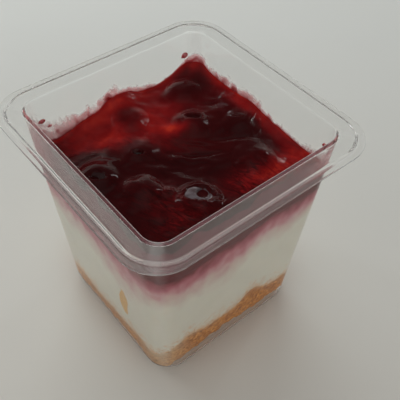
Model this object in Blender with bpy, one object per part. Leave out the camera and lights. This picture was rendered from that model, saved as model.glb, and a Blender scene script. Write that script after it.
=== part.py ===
"""Layered cherry cream dessert in a clear square plastic cup.

A biscuit crumb base, white cream and a dark cherry compote with whole pitted cherries lie on
each other in a thin clear cup with a flat flange. Metres, +Z up. The origin is on the table
under the middle of the cup, whose sides face X and Y. The corner at -X, -Y is the near one.
"""

import math

import bmesh
import bpy
from mathutils import Euler, Vector

# The cup.
CUP_HEIGHT = 0.0712
RIM_HALF = 0.0302  # half the inner width at the rim
FLOOR_HALF = 0.0262  # the same where the line of the wall meets the table
WALL = 0.0008
RIM_CORNER = 0.0048  # inner corner radius at the rim
FLOOR_CORNER = 0.0070  # and down at the table
RIM_ROLL = 0.0005  # rounding from the wall to the flange
FLANGE_HALF = 0.0358
FLANGE_CORNER = 0.0104
LIP_HALF = 0.0375
LIP_CORNER = 0.0105
LIP_DROP = 0.0013  # from the flange's top down to the lip's
LIP_THICK = 0.0006
FLOOR_TOP = 0.0010
FOOT_BEVEL = 0.0020  # outer rounding at the bottom edge
FLOOR_FILLET = 0.0012  # inner rounding at the bottom edge
FOOT_WIDTH = 0.0030
RECESS = 0.0003  # how far the middle of the underside stands clear of the table

# The contents.
GAP = 0.0003
POCKET_GAP = 0.00045  # a little wider round a piece that is sunk in a layer
CRUMB_RIPPLE = 0.0006
CREAM_RIPPLE = 0.0007
GEL_RIPPLE = 0.0003
CRUMB_LEVEL = 0.0115
CRUMB_TILT = 0.0032  # higher by this at the -Y wall, lower by this at the +Y wall
CREAM_LEVEL = 0.0460
CREAM_CLIMB = 0.0056  # how much higher the cream stands at the walls
CREAM_REACH = 0.0060
GEL_LEVEL = 0.0572
GEL_CLIMB = 0.0012  # how far the gel creeps up the walls
CLIMB_REACH = 0.0030
SWELL = 0.0012  # gel raised round each cherry
SWELL_REACH = 0.0062

# Hills and hollows of the layers: x and y as a share of RIM_HALF, height, reach as a share.
CRUMB_HILLS = (
    (-1.00, 0.00, -0.0040, 0.50),
    (-0.95, -0.75, -0.0045, 0.28),
    (-0.62, -0.95, 0.0040, 0.20),
    (0.20, -0.90, 0.0044, 0.15),
    (0.90, -0.95, -0.0025, 0.25),
    (0.30, 0.40, 0.0020, 0.45),
)
CREAM_HILLS = (
    (-0.95, -0.95, 0.0020, 0.40),
    (0.00, -1.00, 0.0022, 0.50),
    (0.60, -1.00, 0.0018, 0.36),
    (0.05, 0.05, -0.0042, 0.75),
)
GEL_HILLS = (
    (0.95, 0.95, 0.0026, 0.24),
    (-0.02, 1.00, 0.0018, 0.20),
    (-0.75, 0.95, -0.0036, 0.40),
    (0.48, 1.00, -0.0014, 0.20),
    (0.95, 0.15, 0.0014, 0.40),
    (0.90, -0.50, -0.0008, 0.30),
    (0.10, -0.10, -0.0012, 0.35),
    (-0.60, -0.75, -0.0008, 0.30),
)

# The empty wedge under the crumb, along the -Y wall.
VOID_LOW = 0.0055
VOID_PEAK = 0.0016
VOID_PEAK_X = -0.0040
VOID_PEAK_REACH = 0.0125
VOID_SLOPE = 1.35
VOID_HALF = 0.0262

# Whole cherries: x and y as a share of RIM_HALF, diameter, height of the top over the gel's
# level, and the turn of the stone hole from straight up, about X and about Y in degrees.
CHERRIES = (
    (-0.19, -0.51, 0.0142, 0.0026, 24, -14),
    (-0.50, -0.13, 0.0106, 0.0014, 75, 20),
    (-0.73, 0.24, 0.0128, 0.0022, 20, -10),
    (0.38, 0.27, 0.0142, 0.0026, -60, 25),
    (-0.25, 0.27, 0.0122, 0.0018, 100, 10),
    (-0.07, 0.69, 0.0112, 0.0016, 15, 70),
    (0.52, -0.45, 0.0128, 0.0022, 80, 60),
    (0.60, 0.70, 0.0112, 0.0020, 95, -40),
    (0.74, -0.04, 0.0118, 0.0024, 100, 75),
)
CHERRY_FLAT = 0.84  # height of a cherry over its width
HOLE_DEPTH = 0.0020
HOLE_REACH = 0.30  # radians round the hole's axis
CREASE_DEPTH = 0.035  # the shallow seam down one side, as a share of the radius

# The streak of crumb in the cream, against the -X wall.
STREAK_Y = -0.0102
STREAK_Z = 0.0236
STREAK_SIZE = (0.0010, 0.0021, 0.0074)
STREAK_LEAN = 2.0  # degrees
STREAK_SINK = 0.00005  # how much deeper than the gap it lies behind the wall

SIDE_STEPS = 12
CORNER_STEPS = 5
RINGS = 7
GEL_RINGS = 14


def material(name, colour, roughness, see_through=0.0):
    """A plain finish for one kind of piece."""
    finish = bpy.data.materials.new(name)
    finish.use_nodes = True
    shader = finish.node_tree.nodes["Principled BSDF"]
    shader.inputs["Base Color"].default_value = (*colour, 1.0)
    shader.inputs["Roughness"].default_value = roughness
    shader.inputs["Transmission Weight"].default_value = see_through
    finish.diffuse_color = (*colour, 1.0)
    return finish


def outline(half, corner):
    """A square with round corners, always the same number of points, counter-clockwise."""
    points = []
    straight = half - corner
    for quarter in range(4):
        turn = math.radians(90 * quarter)
        arc = []
        for step in range(CORNER_STEPS + 1):
            angle = math.radians(90) * step / CORNER_STEPS
            arc.append((straight + corner * math.cos(angle), straight + corner * math.sin(angle)))
        side = [
            (straight * (1 - 2 * step / SIDE_STEPS), half) for step in range(1, SIDE_STEPS)
        ]
        for x, y in arc + side:
            points.append(
                (x * math.cos(turn) - y * math.sin(turn), x * math.sin(turn) + y * math.cos(turn))
            )
    return points


def flat_ring(half, corner, z):
    return [Vector((x, y, z)) for x, y in outline(half, corner)]


def skin(name, start, rings, end, finish):
    """A closed body from a start point over a row of rings to an end point."""
    mesh = bmesh.new()
    first = mesh.verts.new(start)
    rows = [[mesh.verts.new(point) for point in ring] for ring in rings]
    last = mesh.verts.new(end)
    count = len(rows[0])
    for i in range(count):
        j = (i + 1) % count
        mesh.faces.new((first, rows[0][j], rows[0][i]))
        for low, high in zip(rows, rows[1:]):
            mesh.faces.new((low[i], low[j], high[j], high[i]))
        mesh.faces.new((rows[-1][i], rows[-1][j], last))
    bmesh.ops.triangulate(mesh, faces=mesh.faces)
    bmesh.ops.recalc_face_normals(mesh, faces=mesh.faces)
    return add_object(name, mesh, finish)


def add_object(name, mesh, finish):
    data = bpy.data.meshes.new(name)
    mesh.to_mesh(data)
    mesh.free()
    piece = bpy.data.objects.new(name, data)
    bpy.context.scene.collection.objects.link(piece)
    data.materials.append(finish)
    data.shade_smooth()
    data.set_sharp_from_angle(angle=math.radians(35))
    return piece


def wall_half(z):
    """Half the cup's inner width at a height."""
    return FLOOR_HALF + (RIM_HALF - FLOOR_HALF) * z / CUP_HEIGHT


def wall_corner(z):
    return FLOOR_CORNER + (RIM_CORNER - FLOOR_CORNER) * z / CUP_HEIGHT


def fillet_inset(z):
    """How far the rounded bottom edge stands in from the line of the wall."""
    rise = FLOOR_FILLET - (z - FLOOR_TOP)
    if rise <= 0:
        return 0.0
    return FLOOR_FILLET - math.sqrt(max(FLOOR_FILLET**2 - rise**2, 0.0))


def quarter_turn(steps):
    """Sine and cosine of the angles of an arc, both ends included."""
    angles = [math.radians(90) * step / steps for step in range(steps + 1)]
    return [(math.sin(angle), math.cos(angle)) for angle in angles]


def make_cup(finish):
    """One thin shell: foot, drafted walls, flat flange and a lip one step lower."""
    rings = []

    def add(half, corner, z):
        rings.append(flat_ring(half, corner, z))

    foot_edge = FLOOR_HALF + WALL - FOOT_BEVEL
    foot_corner = FLOOR_CORNER + WALL - FOOT_BEVEL
    foot_inner = foot_edge - FOOT_WIDTH
    add(foot_inner - RECESS, foot_corner - FOOT_WIDTH + RECESS, RECESS)
    add(foot_inner, foot_corner - FOOT_WIDTH + 2 * RECESS, 0.0)
    for sine, cosine in quarter_turn(3):
        z = FOOT_BEVEL * (1 - cosine)
        half = wall_half(z) + WALL - FOOT_BEVEL * (1 - sine)
        add(half, wall_corner(z) + WALL - FOOT_BEVEL * (1 - sine), z)
    flange_under = CUP_HEIGHT - WALL
    add(wall_half(flange_under) + WALL, wall_corner(flange_under) + WALL, flange_under)
    lip_top = CUP_HEIGHT - LIP_DROP
    lip_under = lip_top - LIP_THICK
    add(FLANGE_HALF - WALL, FLANGE_CORNER - WALL, flange_under)
    add(FLANGE_HALF - WALL / 2, FLANGE_CORNER - WALL / 2, lip_under)
    add(LIP_HALF, LIP_CORNER, lip_under)
    add(LIP_HALF, LIP_CORNER, lip_top)
    add(FLANGE_HALF + RIM_ROLL, FLANGE_CORNER + RIM_ROLL, lip_top)
    add(FLANGE_HALF, FLANGE_CORNER, CUP_HEIGHT - RIM_ROLL / 2)
    add(FLANGE_HALF - RIM_ROLL, FLANGE_CORNER - RIM_ROLL, CUP_HEIGHT)
    for sine, cosine in quarter_turn(2):
        inset = RIM_ROLL * (1 - sine)
        add(RIM_HALF + inset, RIM_CORNER + inset, CUP_HEIGHT - RIM_ROLL * (1 - cosine))
    for sine, cosine in quarter_turn(3):
        z = FLOOR_TOP + FLOOR_FILLET * (1 - sine)
        inset = FLOOR_FILLET * (1 - cosine)
        add(wall_half(z) - inset, wall_corner(z) - inset, z)
    return skin("cup", (0, 0, RECESS), rings, (0, 0, FLOOR_TOP), finish)


def hills(table, x, y):
    """The sum of soft round hills and hollows at a place."""
    total = 0.0
    for hill_x, hill_y, height, reach in table:
        away = (x / RIM_HALF - hill_x) ** 2 + (y / RIM_HALF - hill_y) ** 2
        total += height * math.exp(-away / reach**2)
    return total


def from_wall(x, y, z):
    """Distance inwards from the nearest flat wall."""
    return max(wall_half(z) - max(abs(x), abs(y)), 0.0)


def crumb_top(x, y):
    ripple = CRUMB_RIPPLE * math.sin(430 * x + 1.0) * math.cos(390 * y + 0.4)
    return CRUMB_LEVEL - CRUMB_TILT * y / RIM_HALF + hills(CRUMB_HILLS, x, y) + ripple


def crumb_bottom(x, y):
    """The floor, but for the empty wedge along the -Y wall."""
    edge = VOID_LOW + VOID_PEAK * math.exp(-(((x - VOID_PEAK_X) / VOID_PEAK_REACH) ** 2))
    edge *= min(max((VOID_HALF - abs(x)) / (VOID_HALF / 6), 0.0), 1.0)
    wedge = edge - VOID_SLOPE * (wall_half(edge) + y)
    return max(FLOOR_TOP + GAP, wedge)


def cream_top(x, y):
    ripple = CREAM_RIPPLE * math.sin(310 * x + 2.1) * math.sin(280 * y + 0.7)
    climb = CREAM_CLIMB * math.exp(-from_wall(x, y, CREAM_LEVEL) / CREAM_REACH)
    return CREAM_LEVEL + climb + hills(CREAM_HILLS, x, y) + ripple


def gel_top(x, y):
    """The compote's skin: hills, a swell round every cherry and a climb at the walls."""
    z = GEL_LEVEL + hills(GEL_HILLS, x, y)
    for share_x, share_y, *_ in CHERRIES:
        away = (x - share_x * RIM_HALF) ** 2 + (y - share_y * RIM_HALF) ** 2
        z += SWELL * math.exp(-away / SWELL_REACH**2)
    z += GEL_CLIMB * math.exp(-from_wall(x, y, GEL_LEVEL) / CLIMB_REACH)
    z += GEL_RIPPLE * math.sin(520 * x + 180 * y) * math.cos(470 * y - 0.9)
    return z


def content_ring(share, height):
    """A ring at a share of the way to the wall, on a height that depends on the place."""
    z = [GEL_LEVEL / 2] * (4 * (SIDE_STEPS + CORNER_STEPS))
    for _ in range(4):
        places = []
        for i, level in enumerate(z):
            half = wall_half(level) - GAP - fillet_inset(level - GAP)
            corner = wall_corner(level) - GAP - fillet_inset(level - GAP)
            x, y = outline(half, corner)[i]
            places.append((share * x, share * y))
        z = [height(x, y) for x, y in places]
    return [Vector((x, y, level)) for (x, y), level in zip(places, z)]


def make_layer(name, bottom, top, finish, top_rings=RINGS, side_rings=1):
    """A layer of the contents, from its bottom surface up to its top one."""
    low = [content_ring(ring / RINGS, bottom) for ring in range(1, RINGS + 1)]
    high = [content_ring(ring / top_rings, top) for ring in range(1, top_rings + 1)]
    between = []
    for step in range(1, side_rings + 1):
        part = step / (side_rings + 1)
        between.append(
            content_ring(1, lambda x, y: bottom(x, y) * (1 - part) + top(x, y) * part)
        )
    start = Vector((0, 0, bottom(0, 0)))
    end = Vector((0, 0, top(0, 0)))
    return skin(name, start, low + between + high[::-1], end, finish)


def cherry_point(radius, around, down):
    """A place on a cherry whose stone hole points up: around the axis, and down from it."""
    hole = HOLE_DEPTH * math.exp(-((down / HOLE_REACH) ** 2))
    shoulder = 1 + 0.03 * math.sin(2 * down)
    crease = CREASE_DEPTH * math.sin(down) * math.exp(-(((around - math.pi) / 0.35) ** 2))
    reach = radius * (shoulder - crease) - hole
    return Vector(
        (
            reach * math.sin(down) * math.cos(around),
            reach * math.sin(down) * math.sin(around),
            reach * math.cos(down) * CHERRY_FLAT,
        )
    )


def cherry_rings(radius, turn, centre, around_steps=16, down_steps=10):
    """Rings round a cherry from the foot to the stone hole, with both end points."""

    def place(point):
        point = point.copy()
        point.rotate(turn)
        return point + centre

    rings = []
    for step in range(down_steps - 1, 0, -1):
        down = math.pi * step / down_steps
        ring = [
            place(cherry_point(radius, 2 * math.pi * side / around_steps, down))
            for side in range(around_steps)
        ]
        rings.append(ring)
    return place(cherry_point(radius, 0, math.pi)), rings, place(cherry_point(radius, 0, 0))


def cherry_place(row):
    """Radius, turn and centre of a cherry, its top at the height that its row gives."""
    share_x, share_y, diameter, over, about_x, about_y = row
    turn = Euler((math.radians(about_x), math.radians(about_y), 0))
    radius = diameter / 2
    _, rings, tip = cherry_rings(radius, turn, Vector((0, 0, 0)))
    top = max([tip.z] + [point.z for ring in rings for point in ring])
    height = GEL_LEVEL + over - top
    return radius, turn, Vector((share_x * RIM_HALF, share_y * RIM_HALF, height))


def cut(piece, cutter):
    """Takes the cutter's shape out of the piece and removes the cutter."""
    change = piece.modifiers.new("pocket", "BOOLEAN")
    change.operation = "DIFFERENCE"
    change.object = cutter
    bpy.context.view_layer.update()
    solved = piece.evaluated_get(bpy.context.evaluated_depsgraph_get())
    data = bpy.data.meshes.new_from_object(solved)
    piece.modifiers.clear()
    piece.data = data
    bpy.data.objects.remove(cutter, do_unlink=True)


def make_cherries(compote, finish):
    """Each cherry in a pocket of the compote, clear of it all round."""
    for number, row in enumerate(CHERRIES, 1):
        radius, turn, centre = cherry_place(row)
        start, rings, end = cherry_rings(radius, turn, centre)
        skin(f"cherry_{number}", start, rings, end, finish)
        start, rings, end = cherry_rings(radius + POCKET_GAP, turn, centre)
        cut(compote, skin("pocket", start, rings, end, finish))


def streak_body(name, grow, finish):
    """A thin upright lens just inside the line of the -X wall."""
    thick, wide, tall = (size + grow for size in STREAK_SIZE)
    lean = math.atan((RIM_HALF - FLOOR_HALF) / CUP_HEIGHT)
    centre = Vector((-(wall_half(STREAK_Z) - GAP - STREAK_SIZE[0] - STREAK_SINK), STREAK_Y, STREAK_Z))
    turn = Euler((math.radians(STREAK_LEAN), -lean, 0))
    rows = []
    for step in range(1, 8):
        down = math.pi * (1 - step / 8)
        row = []
        for side in range(12):
            around = 2 * math.pi * side / 12
            point = Vector(
                (
                    thick * math.sin(down) * math.cos(around),
                    wide * math.sin(down) * math.sin(around),
                    tall * math.cos(down),
                )
            )
            point.rotate(turn)
            row.append(point + centre)
        rows.append(row)
    tip = Vector((0, 0, tall))
    tip.rotate(turn)
    return skin(name, centre - tip, rows, centre + tip, finish)


def main():
    for old in list(bpy.data.objects):
        bpy.data.objects.remove(old, do_unlink=True)
    clear = material("clear_plastic", (0.9, 0.92, 0.92), 0.05, see_through=1.0)
    biscuit = material("biscuit_crumb", (0.50, 0.24, 0.07), 0.9)
    white = material("cream", (0.78, 0.75, 0.66), 0.5)
    gel = material("cherry_gel", (0.14, 0.008, 0.012), 0.1)
    fruit = material("cherry", (0.05, 0.004, 0.008), 0.15)
    make_cup(clear)
    make_layer("biscuit_base", crumb_bottom, crumb_top, biscuit, side_rings=2)
    cream = make_layer(
        "cream", lambda x, y: crumb_top(x, y) + GAP, cream_top, white, side_rings=3
    )
    cut(cream, streak_body("pocket", POCKET_GAP, white))
    streak_body("biscuit_streak", 0, biscuit)
    compote = make_layer(
        "cherry_compote", lambda x, y: cream_top(x, y) + GAP, gel_top, gel, top_rings=GEL_RINGS
    )
    make_cherries(compote, fruit)


main()
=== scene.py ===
"""Looks of a layered cherry cream dessert in a clear square plastic cup.

Biscuit crumb, cream and a dark cherry compote show through the cup's thin walls. The corner at
-X, -Y is the one nearest the camera. Metres, +Z up, as in the frame.
"""

import math

import bpy
import numpy as np
from mathutils import Euler, Matrix, Vector, noise


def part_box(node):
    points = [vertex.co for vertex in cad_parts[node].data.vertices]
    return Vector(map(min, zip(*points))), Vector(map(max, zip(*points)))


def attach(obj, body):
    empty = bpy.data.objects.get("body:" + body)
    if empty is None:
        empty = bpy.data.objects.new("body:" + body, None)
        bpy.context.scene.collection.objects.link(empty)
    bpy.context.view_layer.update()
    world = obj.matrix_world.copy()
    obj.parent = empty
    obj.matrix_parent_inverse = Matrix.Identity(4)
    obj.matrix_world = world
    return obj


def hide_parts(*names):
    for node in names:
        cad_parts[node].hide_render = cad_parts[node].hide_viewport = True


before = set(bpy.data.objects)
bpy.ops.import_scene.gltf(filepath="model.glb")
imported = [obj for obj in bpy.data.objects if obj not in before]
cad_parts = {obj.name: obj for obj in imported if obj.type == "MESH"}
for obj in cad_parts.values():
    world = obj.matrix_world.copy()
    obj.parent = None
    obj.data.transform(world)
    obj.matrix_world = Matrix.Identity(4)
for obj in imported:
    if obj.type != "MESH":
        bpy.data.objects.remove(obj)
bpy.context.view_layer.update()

MM = 0.001

# The cup, as in the frame.
CUP_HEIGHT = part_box("cup")[1].z
LIP_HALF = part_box("cup")[1].x
RIM_HALF = 30.2 * MM
FLOOR_HALF = 26.2 * MM
WALL = 0.8 * MM
RIM_CORNER = 4.8 * MM
FLOOR_CORNER = 7.0 * MM
FLANGE_HALF = 35.8 * MM
LIP_TIGHTER = 0.94  # how much less than the flange's edge the lip's corners open out
LIP_DROP = 1.3 * MM
LIP_THICK = 0.6 * MM
RIM_ROLL = 0.45 * MM
EDGE_ROLL = 0.75 * MM
FLOOR_TOP = 1.0 * MM
RECESS = 0.3 * MM
FOOT_BEVEL = 2.0 * MM
FLOOR_FILLET = 1.2 * MM
FOOT_WIDTH = 3.0 * MM

# The layers' levels and their hills: x and y as a share of RIM_HALF, height, reach as a share.
REACH_IN = 0.15 * MM  # how far the food reaches into the clear wall
CRUMB_LEVEL = 11.5 * MM
CRUMB_TILT = 3.2 * MM
CREAM_LEVEL = 46.0 * MM
CREAM_CLIMB = 5.6 * MM
CREAM_REACH = 6.0 * MM
GEL_LEVEL = 57.2 * MM
GEL_CLIMB = 1.2 * MM
CLIMB_REACH = 3.0 * MM
SWELL = 1.0 * MM
SWELL_REACH = 6.2 * MM
CRUMB_HILLS = (
    (-1.00, 0.00, -4.0 * MM, 0.50),
    (-0.95, -0.75, -4.5 * MM, 0.28),
    (-0.62, -0.95, 4.0 * MM, 0.20),
    (0.20, -0.90, 4.4 * MM, 0.15),
    (0.90, -0.95, -2.5 * MM, 0.25),
    (0.30, 0.40, 2.0 * MM, 0.45),
)
CREAM_HILLS = (
    (-0.95, -0.95, 2.0 * MM, 0.40),
    (0.00, -1.00, 2.2 * MM, 0.50),
    (0.60, -1.00, 1.8 * MM, 0.36),
    (0.05, 0.05, -4.2 * MM, 0.75),
)
GEL_HILLS = (
    (0.95, 0.95, 2.6 * MM, 0.24),
    (-0.02, 1.00, 1.8 * MM, 0.20),
    (-0.75, 0.95, -3.6 * MM, 0.40),
    (0.48, 1.00, -1.4 * MM, 0.20),
    (0.95, 0.15, 1.4 * MM, 0.40),
    (0.90, -0.50, -0.8 * MM, 0.30),
    (0.10, -0.10, -1.2 * MM, 0.35),
    (-0.60, -0.75, -0.8 * MM, 0.30),
)
CRUMB_RAG = 1.6 * MM  # how ragged the crumb layer's edge is at the wall

# The empty wedge under the crumb along the -Y wall, and how high the crumb starts at the -X wall.
VOID_LOW = 5.5 * MM
VOID_PEAK = 1.6 * MM
VOID_PEAK_X = -4.0 * MM
VOID_PEAK_REACH = 12.5 * MM
VOID_SLOPE = 1.35
VOID_HALF = 26.2 * MM
LEFT_VOID = 3.0 * MM
LEFT_VOID_START, LEFT_VOID_RUN = -22 * MM, 6 * MM  # the y where it starts, and where it is full

# Stray crumbs over the crumb layer's edge: the strip's levels, and the crumbs in it.
STRIP_RISES = (-0.5 * MM, 1.0 * MM, 2.6 * MM)
CRUMB_SINK = -0.03 * MM  # how far in from the wall their middles lie
CRUMB_SIZE = 0.40 * MM
CRUMB_DENSITY = 0.42 / MM**2
CRUMB_SEED = 7

# How far down the cream the juice has sunk, and how much more or less at three places: at the
# -X wall, at the -Y wall and at the near corner. A place gives that change, where it is along
# the wall, and its reach.
STAIN_REACH = 15.0 * MM
STAIN_LEFT = (8.0 * MM, -13 * MM, 8 * MM)
STAIN_RIGHT = (3.5 * MM, -11 * MM, 8 * MM)
STAIN_CORNER = (-5.0 * MM, -28 * MM, 9 * MM)

# Cherries: turns of the stone hole from straight up about X and Y in degrees, then the bare
# place in the glaze over each: its x and y from the cherry's middle, and its reach.
CHERRIES = (
    (-2, 14, 0.7 * MM, 0.7 * MM, 3.4 * MM),
    (75, 20, 0, 0, 0),
    (12, -20, -0.3 * MM, -0.7 * MM, 1.7 * MM),
    (-22, 20, 1.6 * MM, 1.4 * MM, 1.7 * MM),
    (20, -20, -1.0 * MM, -0.5 * MM, 1.2 * MM),
    (15, 70, 0, 0, 0),
    (80, 60, 0, 0, 0),
    (95, -40, 0, 0, 0),
    (100, 75, 0, 0, 0),
)
FRUIT_FLAT = 0.84
HOLE_DEEP, HOLE_WIDE = 2.4 * MM, 0.225  # the stone hole; its width is an angle from its axis
DISH_DEEP, DISH_WIDE = 0.5 * MM, 0.55  # the shallow dish round it
SEAM_DEEP, SEAM_WIDE = 0.035, 0.35  # the crease down one side

# The gel over and between the cherries.
GLAZE = 0.35 * MM
GLAZE_THIN = 0.3 * GLAZE  # what always stays over a cherry, under lumps and creases
DOME_DROP = 8 * MM  # how far a cherry's dome falls away outside its outline
SOFT_BARE, SOFT_COVERED = 0.7 * MM, 1.2 * MM  # how softly the gel runs up to the cherries
SOFT_SKIN = 0.28 * MM  # and how softly its thin skin does
ROLLS, LUMPS, RIPPLES = 0.35 * MM, 0.40 * MM, 0.07 * MM  # heights of its unevenness
BARE_LONG = 1.25  # the bare places are this much longer, and narrower, across the view
BARE_DIP = 1.5 * MM
VIEW_COS, VIEW_SIN = 0.756, 0.655  # the turn about Z that lays X across the photo's view

# Long folds of the gel's skin: x, y, half length, half width as shares of RIM_HALF, turn in
# degrees, height. The creases run over the covered cherries too.
FOLDS = (
    (-0.50, 0.30, 0.30, 0.060, -52, 0.30 * MM),
    (0.86, 0.30, 0.12, 0.035, 70, 0.30 * MM),
    (-0.33, -0.30, 0.05, 0.040, -40, 0.80 * MM),
    (0.55, -0.30, 0.34, 0.200, -41, 0.90 * MM),
)
CREASES = (
    (0.24, 0.04, 0.11, 0.018, -46, -0.50 * MM),
    (0.17, -0.05, 0.19, 0.022, -38, -0.60 * MM),
    (0.29, 0.02, 0.20, 0.050, -38, 0.42 * MM),
    (0.12, -0.11, 0.24, 0.060, -46, 0.45 * MM),
    (0.58, -0.17, 0.26, 0.026, -36, -0.30 * MM),
    (-0.13, -0.10, 0.10, 0.030, -30, -0.25 * MM),
    (-0.20, -0.04, 0.20, 0.050, -35, 0.20 * MM),
    (-0.08, -0.28, 0.22, 0.040, -52, 0.20 * MM),
    (-0.40, -0.52, 0.22, 0.026, -62, -0.25 * MM),
    (-0.55, -0.66, 0.18, 0.035, -30, 0.22 * MM),
    (0.66, 0.40, 0.16, 0.030, -45, -0.20 * MM),
)

# Red, see-through places in the dark gel: x, y, half length, half width, turn, amount. A minus
# makes a place darker. The places along the far walls and in the far corner are painted light
# that shines through the clear wall behind the thin gel.
RED_PLACES = (
    (-0.46, 0.62, 0.34, 0.085, -29, 0.26),
    (-0.10, 0.66, 0.68, 0.32, -14, 0.66),
    (0.20, 0.31, 0.22, 0.085, -41, 0.36),
    (0.24, 0.30, 0.12, 0.060, -41, 0.55),
    (0.10, 0.92, 0.75, 0.10, 0, 0.45),
    (0.62, -0.64, 0.44, 0.16, -6, 0.72),
    (0.92, -0.05, 0.60, 0.09, 90, 0.66),
    (-0.42, -0.38, 0.34, 0.20, -60, 0.20),
    (-0.30, -0.62, 0.20, 0.07, -25, 0.22),
    (-0.62, -0.66, 0.20, 0.12, -30, 0.15),
    (0.95, 0.92, 0.12, 0.12, 0, 0.60),
    (0.12, 0.12, 0.45, 0.10, -41, 0.16),
    (-0.74, 0.50, 0.24, 0.15, -29, -0.55),
)

# The film of juice on the walls: how high and how strong it is at the near corner, and how much
# that changes towards the far one.
FILM_CLIMB, FILM_CLIMB_FAR = 9.0 * MM, -7.8 * MM
FILM_STRONG, FILM_STRONG_FAR = 0.40, 0.30
FILM_LOWEST = 0.9 * MM
FILM_START = 0.8 * MM  # how far under the gel's edge it starts
FILM_OUTER, FILM_INNER = -0.02 * MM, 0.16 * MM  # how far in from the wall its two faces are
FILM_ROWS = 12

# Smears in the film: x, y as shares of RIM_HALF, climb, reach as a share, strength.
SMEARS = (
    (-0.82, 1.0, 5.2 * MM, 0.20, 0.80),
    (-0.50, 1.0, 3.8 * MM, 0.24, 0.85),
    (-0.12, 1.0, 3.2 * MM, 0.22, 1.0),
    (0.25, 1.0, 2.2 * MM, 0.30, 0.95),
    (0.95, 1.0, 4.6 * MM, 0.16, 1.0),
    (1.00, 0.50, 3.0 * MM, 0.30, 1.0),
    (1.00, 0.15, 2.2 * MM, 0.30, 0.9),
    (1.00, -0.30, 1.2 * MM, 0.45, 0.7),
    (-1.0, 0.74, 8.5 * MM, 0.22, 0.8),
    (0.88, -1.0, 9.0 * MM, 0.16, 0.8),
)

# Dabs of compote on the walls: x, y as shares of RIM_HALF, height, half width, half height.
DABS = (
    (-0.83, 1.0, 63.0 * MM, 1.1 * MM, 0.7 * MM),
    (0.84, 1.0, 63.2 * MM, 1.2 * MM, 1.1 * MM),
    (-0.76, 1.0, 60.4 * MM, 0.7 * MM, 0.4 * MM),
    (1.0, -0.86, 63.6 * MM, 1.0 * MM, 0.7 * MM),
)

# How milky the plastic is: the walls, the flange, its outer step, its inner roll, the lip, the
# foot's rounding, the middle of the floor, and how much more at the upright corners. The
# milkiness of the step, the roll and the lip paints highlight lines along those edges, that of
# the foot's rounding paints light over the dark line seen there, and that at the corners paints
# pale reflections down them.
HAZE_WALL = 0.01
HAZE_FLANGE = 0.018
STEP_PAINTED_HIGHLIGHT = 0.24
ROLL_PAINTED_HIGHLIGHT = 0.25
LIP_PAINTED_HIGHLIGHT = 0.07
FOOT_PAINTED_LIGHT = 0.42
HAZE_FLOOR = 0.02
CORNER_PAINTED_REFLECTION = 0.06

# Lamps: name, place, size, watts, tint, and whether reflections show it.
LAMPS = (
    ("daylight", (0.28, 0.77, 0.30), (1.00, 0.40), 6.1, (0.96, 1.0, 0.985), False),
    ("window", (-0.26, 0.68, 0.50), (0.05, 0.17), 0.36, (0.97, 0.99, 1.0), True),
    ("far_window", (0.64, 0.15, 0.50), (0.05, 0.20), 0.22, (0.97, 0.99, 1.0), True),
    ("side_room", (-0.85, 0.35, 0.22), (0.70, 0.35), 1.0, (1.0, 0.99, 0.97), True),
    ("near_room", (-0.20, -0.95, 0.30), (1.20, 0.50), 2.3, (1.0, 0.98, 0.95), True),
    ("ceiling", (-0.10, -0.12, 1.20), (0.30, 0.30), 1.75, (1.0, 0.99, 0.96), False),
)

# The camera, fitted to the photograph: place, turns in degrees, and field of view.
CAMERA_PLACE = (-76.7 * MM, -98.1 * MM, 179.4 * MM)
CAMERA_TILT = 41.68
CAMERA_TURN = -40.90
CAMERA_ROLL = 2.20
PHOTO_SIDE = 400
FOCAL_PIXELS = 627.5
SENSOR_MM = 36.0


def quarter_pattern(side_steps, corner_steps):
    """Two lists that give a rounded square: what its straight part and its corner radius add."""
    straight, corner = [], []
    for quarter in range(4):
        cosine, sine = ((1, 0), (0, 1), (-1, 0), (0, -1))[quarter]
        rows = []
        for step in range(corner_steps + 1):
            angle = math.pi / 2 * step / corner_steps
            rows.append(((1, 1), (math.cos(angle), math.sin(angle))))
        for step in range(1, side_steps):
            rows.append(((1 - 2 * step / side_steps, 1), (0, 1)))
        for (a, b), (c, d) in rows:
            straight.append((a * cosine - b * sine, a * sine + b * cosine))
            corner.append((c * cosine - d * sine, c * sine + d * cosine))
    return np.array(straight), np.array(corner)


def rounded_square(pattern, half, corner):
    """Places round a square of that half width; half and corner may differ along it."""
    straight, bend = pattern
    half = np.broadcast_to(half, len(straight))[:, None]
    corner = np.broadcast_to(corner, len(straight))[:, None]
    return (half - corner) * straight + corner * bend


def wall_half(z):
    return FLOOR_HALF + (RIM_HALF - FLOOR_HALF) * z / CUP_HEIGHT


def wall_corner(z):
    return FLOOR_CORNER + (RIM_CORNER - FLOOR_CORNER) * z / CUP_HEIGHT


def new_object(name, points, faces, material):
    data = bpy.data.meshes.new(name)
    data.from_pydata([tuple(map(float, point)) for point in points], [], faces)
    data.shade_smooth()
    data.materials.append(material)
    piece = bpy.data.objects.new(name, data)
    bpy.context.scene.collection.objects.link(piece)
    return piece


def skin(name, rings, start, end, material):
    """A closed mesh over rings of points, from a start point to an end point, facing out."""
    rows, count = rings.shape[:2]
    points = [start, *rings.reshape(-1, 3), end]
    last = len(points) - 1
    faces = []
    for i in range(count):
        j = (i + 1) % count
        faces.append((0, 1 + j, 1 + i))
        faces.append((last, last - count + i, last - count + j))
    for row in range(rows - 1):
        base = 1 + row * count
        for i in range(count):
            j = (i + 1) % count
            faces.append((base + i, base + j, base + count + j, base + count + i))
    return new_object(name, points, faces, material)


def set_attribute(piece, name, values):
    """Stores one number for each vertex, for the material to read."""
    data = piece.data.attributes.new(name, "FLOAT", "POINT")
    data.data.foreach_set("value", np.asarray(values, np.float32))


def vertices(piece):
    spots = np.empty(len(piece.data.vertices) * 3)
    piece.data.vertices.foreach_get("co", spots)
    return spots.reshape(-1, 3)


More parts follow.
